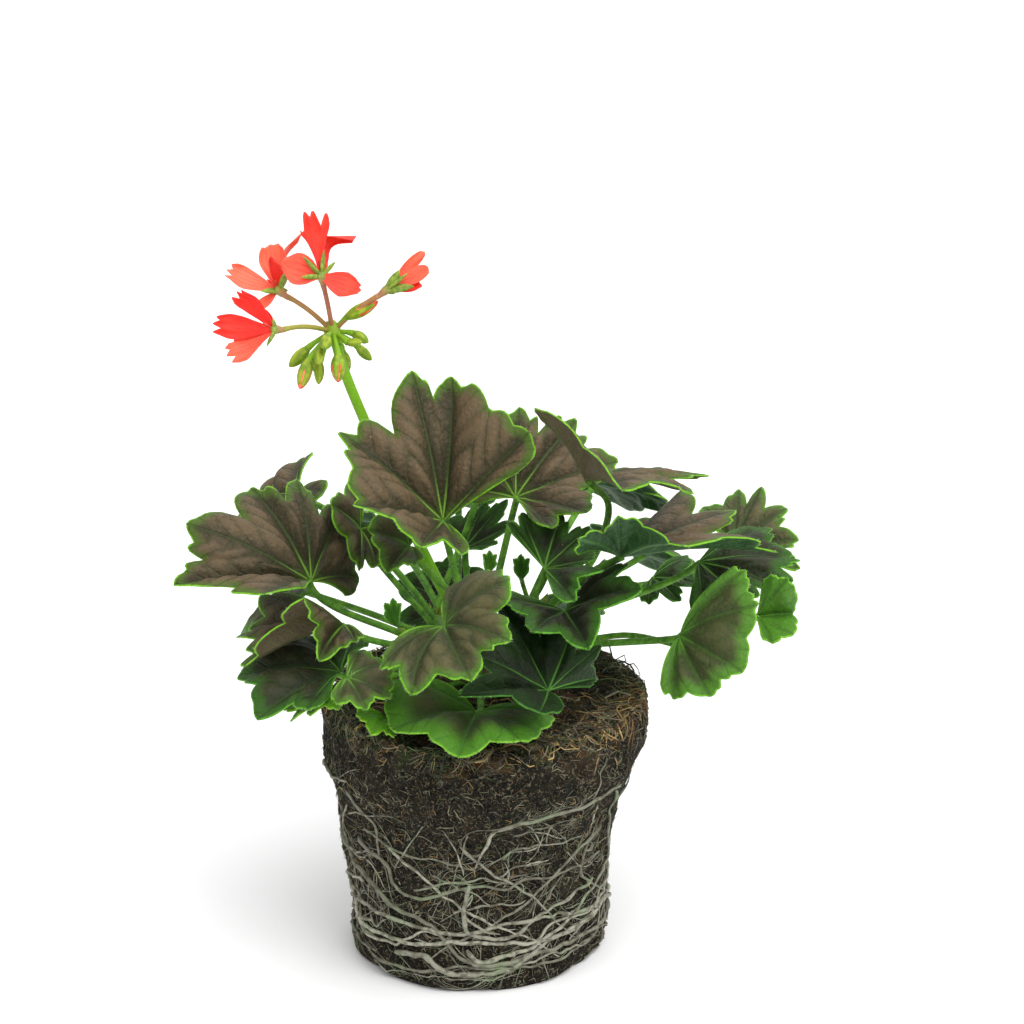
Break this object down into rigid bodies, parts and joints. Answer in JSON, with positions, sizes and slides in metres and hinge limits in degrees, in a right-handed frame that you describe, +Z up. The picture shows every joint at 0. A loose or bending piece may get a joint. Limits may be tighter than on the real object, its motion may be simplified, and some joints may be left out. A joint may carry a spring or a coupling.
{
  "type": "zonal geranium plant with root ball",
  "caption": "Leafy zonal geranium out of its pot: lobed bronze leaves with green edges on long stalks, a head of coral flowers and buds, and a pot-shaped root ball wrapped in pale roots.",
  "frame": {"origin": "middle of the root ball's flat base", "axes": "+Z up along the plant, -Y to the side with the fullest leaves, +X to the right of a viewer on that side"},
  "size_m": [0.218, 0.1791, 0.2694],
  "materials": {
    "peat": "matte",
    "root": "matte",
    "stem": "satin",
    "leaf": "matte",
    "petal": "matte"
  },
  "bodies": {
    "root": {"root_ball": "peat", "root_net": "root", "stem": "stem", "flower_stalk": "stem", "bloom_top": "petal", "bloom_left": "petal", "bloom_low_left": "petal", "bloom_half_open": "petal", "leaf_top_front": "leaf", "leaf_top_right": "leaf", "leaf_far_right_top": "leaf", "leaf_middle": "leaf", "leaf_right_flat": "leaf", "leaf_right_saddle": "leaf", "leaf_front": "leaf", "leaf_front_shaded": "leaf", "leaf_front_low": "leaf", "leaf_left_large": "leaf", "leaf_left_folded": "leaf", "leaf_left_low": "leaf", "leaf_left_small": "leaf", "leaf_rim_left": "leaf", "leaf_rim_front": "leaf", "leaf_left_hanging": "leaf", "leaf_behind_top": "leaf", "leaf_back_middle": "leaf", "leaf_right_behind": "leaf", "leaf_right_wide": "leaf", "leaf_right_back": "leaf", "leaf_right_green": "leaf", "leaf_right_edge": "leaf", "leaf_left_behind": "leaf", "leaf_back_left_top": "leaf", "leaf_back_left": "leaf", "leaf_back": "leaf", "leaf_back_right": "leaf", "leaf_back_right_low": "leaf", "leaf_left_low_back": "leaf", "leaf_back_top": "leaf", "leaf_back_low": "leaf", "young_leaf_left": "leaf", "young_leaf_middle": "leaf", "young_leaf_right": "leaf"}
  },
  "joints": []
}
